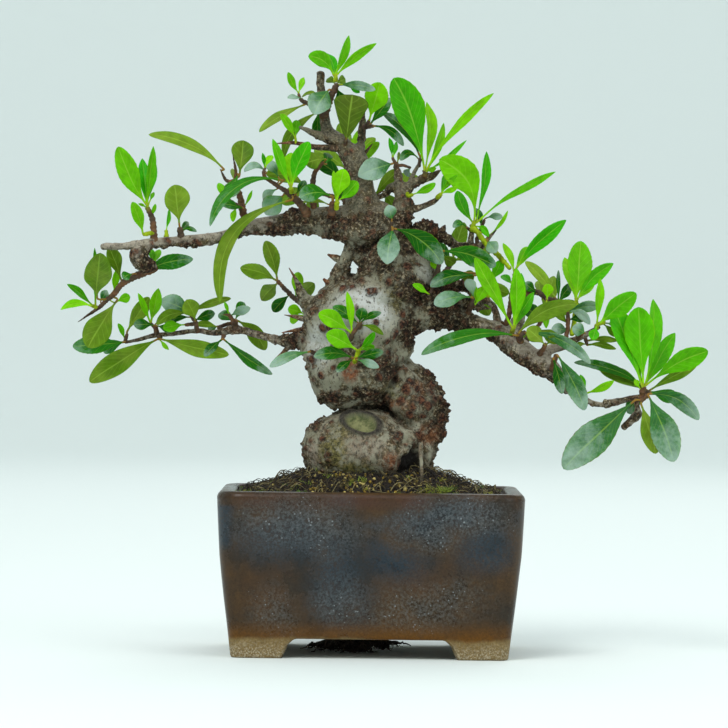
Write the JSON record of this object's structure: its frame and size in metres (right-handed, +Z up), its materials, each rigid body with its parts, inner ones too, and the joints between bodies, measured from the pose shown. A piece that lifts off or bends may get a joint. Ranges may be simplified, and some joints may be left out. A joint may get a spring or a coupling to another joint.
{
  "type": "firethorn bonsai in a pot",
  "caption": "Small firethorn bonsai with a knobbly corky trunk, spreading thorny branches and narrow leaves, planted in a glazed rectangular pot on corner feet.",
  "frame": {"origin": "on the surface that the pot stands on, under the middle of the whole tree and pot", "axes": "+Z up, +X along the longest branches to the right as seen from the front, -Y towards the front"},
  "size_m": [0.2572, 0.088, 0.2456],
  "materials": {
    "pot_glaze": "semi-gloss brown grey glaze with blue and rust breaks",
    "drain_mesh": "matte moulded netting",
    "soil": "matte dark granular soil with moss",
    "roots": "matte matted fine roots",
    "bark": "smooth grey green bark with raised brown corky warts",
    "leaf_old": "dark green, waxy and half gloss",
    "leaf_underside": "matte olive underside",
    "leaf_film": "green under a chalky blue grey film",
    "leaf_fresh": "bright yellow green new leaf, half gloss"
  },
  "bodies": {
    "root": {"drain_mesh": "drain_mesh", "drain_roots": "roots", "pot": "pot_glaze", "soil": "soil", "spray_back_branch": "leaf_old", "spray_back_crown": "leaf_old", "spray_back_left": "leaf_old", "spray_back_right": "leaf_old", "spray_behind_loop_fresh": "leaf_fresh", "spray_crown_front": "leaf_old", "spray_crown_front_fresh": "leaf_fresh", "spray_crown_front_left": "leaf_underside", "spray_crown_left": "leaf_film", "spray_crown_left_fresh": "leaf_fresh", "spray_crown_right": "leaf_film", "spray_crown_right_fresh": "leaf_fresh", "spray_crown_right_twig": "leaf_old", "spray_fork_small_fresh": "leaf_fresh", "spray_left_end": "leaf_underside", "spray_left_end_fresh": "leaf_fresh", "spray_left_inner": "leaf_underside", "spray_left_middle": "leaf_old", "spray_left_shoot_fresh": "leaf_fresh", "spray_loop_fresh": "leaf_fresh", "spray_low_branch": "leaf_old", "spray_low_branch_back": "leaf_old", "spray_low_branch_twig": "leaf_film", "spray_low_end": "leaf_underside", "spray_low_end_spur": "leaf_old", "spray_low_middle": "leaf_underside", "spray_low_tip": "leaf_old", "spray_right_arm": "leaf_film", "spray_right_arm_fresh": "leaf_fresh", "spray_right_end_back": "leaf_old", "spray_right_end_fresh": "leaf_fresh", "spray_right_end_low": "leaf_film", "spray_right_front": "leaf_old", "spray_right_low_film": "leaf_film", "spray_right_low_fresh": "leaf_fresh", "spray_right_middle": "leaf_underside", "spray_right_middle_fresh": "leaf_fresh", "spray_right_root": "leaf_film", "spray_right_spur": "leaf_film", "spray_right_spur_end": "leaf_fresh", "spray_right_spur_low": "leaf_underside", "spray_right_tall_fresh": "leaf_fresh", "spray_right_upper": "leaf_old", "spray_second_leader": "leaf_old", "spray_shoulder_right_old": "leaf_film", "spray_thorn_fresh": "leaf_fresh", "spray_top": "leaf_underside", "spray_top_back": "leaf_underside", "spray_top_fresh": "leaf_fresh", "spray_trunk_front": "leaf_old", "spray_trunk_left_film": "leaf_film", "spray_trunk_left_fresh": "leaf_fresh", "spray_trunk_low": "leaf_fresh", "spray_twig_end_fresh": "leaf_fresh", "wood": "bark"}
  },
  "joints": []
}
